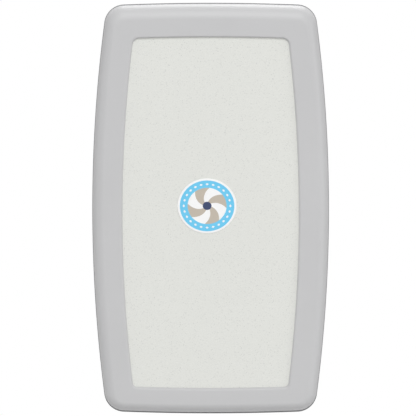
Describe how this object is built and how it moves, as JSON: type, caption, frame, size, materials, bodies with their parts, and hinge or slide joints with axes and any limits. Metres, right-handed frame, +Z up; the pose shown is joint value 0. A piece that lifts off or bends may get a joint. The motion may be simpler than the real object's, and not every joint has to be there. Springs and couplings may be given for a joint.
{
  "type": "baby_changing_station",
  "caption": "Vertical wall-mounted baby changing station: a bowed moulded bed with a recessed panel folds down from a shallow wall housing on gas struts.",
  "frame": {"origin": "centre of the flat wall face of the steel chassis", "axes": "+X to the right seen from the room, +Y into the wall, +Z up"},
  "size_m": [0.527, 0.15, 0.914],
  "materials": {
    "grey_plastic": "light grey moulded polyethylene, fine satin texture",
    "granite_plastic": "off-white polyethylene with fine granite speckle",
    "zinc_steel": "zinc plated steel",
    "dark_steel": "black enamelled steel",
    "white_nylon": "natural nylon",
    "black_plastic": "black moulded acetal",
    "webbing": "woven nylon webbing",
    "paper": "folded paper liners",
    "rubber": "soft black rubber",
    "badge_print": "printed vinyl badge"
  },
  "bodies": {
    "wall_unit": {"mounting_chassis": "zinc_steel", "wall_housing": "grey_plastic", "wall_screw_1": "zinc_steel", "wall_screw_2": "zinc_steel", "wall_screw_3": "zinc_steel", "wall_screw_4": "zinc_steel", "hinge_pin_left": "zinc_steel", "hinge_pin_right": "zinc_steel", "pin_ring_left": "dark_steel", "pin_ring_right": "dark_steel", "wall_strut_stud_left": "zinc_steel", "wall_strut_stud_right": "zinc_steel", "liner_bin": "grey_plastic", "liner_stack": "paper", "bag_hook_left": "grey_plastic", "bag_hook_right": "grey_plastic", "bumper_left": "rubber", "bumper_right": "rubber"},
    "liner_door": {"liner_door": "grey_plastic"},
    "bed": {"bed_frame": "grey_plastic", "front_panel": "granite_plastic", "front_badge": "badge_print", "changing_tray": "granite_plastic", "bed_arm_left": "zinc_steel", "bed_arm_right": "zinc_steel", "hinge_bush_left": "white_nylon", "hinge_bush_right": "white_nylon", "bed_strut_stud_left": "zinc_steel", "bed_strut_stud_right": "zinc_steel", "strap_left": "webbing", "strap_right": "webbing", "strap_anchor_left": "zinc_steel", "strap_anchor_right": "zinc_steel", "buckle_body": "black_plastic", "buckle_pin": "zinc_steel"},
    "buckle_cam": {"buckle_cam": "black_plastic"},
    "cylinder_left": {"strut_cylinder_left": "dark_steel"},
    "cylinder_right": {"strut_cylinder_right": "dark_steel"},
    "rod_left": {"strut_rod_left": "zinc_steel"},
    "rod_right": {"strut_rod_right": "zinc_steel"}
  },
  "joints": [
    {"name": "bed_fold", "type": "hinge", "parent": "wall_unit", "child": "bed", "pos_m": [0, -0.0505, -0.439], "axis": [1, 0, 0], "range_deg": [0, 90], "stiffness_Nm_per_rad": 2, "springref_deg": -143.24},
    {"name": "liner_door_tilt", "type": "hinge", "parent": "wall_unit", "child": "liner_door", "pos_m": [0, -0.047, 0.196], "axis": [1, 0, 0], "range_deg": [0, 15]},
    {"name": "buckle_cam_lift", "type": "hinge", "parent": "bed", "child": "buckle_cam", "pos_m": [-0.012, -0.1065, 0], "axis": [0, 0, 1], "range_deg": [0, 80], "stiffness_Nm_per_rad": 0.06, "springref_deg": -17.19},
    {"name": "cylinder_left_swing", "type": "hinge", "parent": "wall_unit", "child": "cylinder_left", "pos_m": [-0.171, -0.013, -0.3729], "axis": [1, 0, 0], "range_deg": [0, 45]},
    {"name": "rod_left_swing", "type": "hinge", "parent": "bed", "child": "rod_left", "pos_m": [-0.171, -0.1125, -0.39505], "axis": [1, 0, 0], "range_deg": [-45, 0]},
    {"name": "cylinder_right_swing", "type": "hinge", "parent": "wall_unit", "child": "cylinder_right", "pos_m": [0.171, -0.013, -0.3729], "axis": [1, 0, 0], "range_deg": [0, 45]},
    {"name": "rod_right_swing", "type": "hinge", "parent": "bed", "child": "rod_right", "pos_m": [0.171, -0.1125, -0.39505], "axis": [1, 0, 0], "range_deg": [-45, 0]}
  ],
  "couplings": [
    {"joint": "cylinder_left_swing", "follows": "bed_fold", "ratio": 0.5},
    {"joint": "rod_left_swing", "follows": "bed_fold", "ratio": -0.5},
    {"joint": "cylinder_right_swing", "follows": "bed_fold", "ratio": 0.5},
    {"joint": "rod_right_swing", "follows": "bed_fold", "ratio": -0.5}
  ]
}
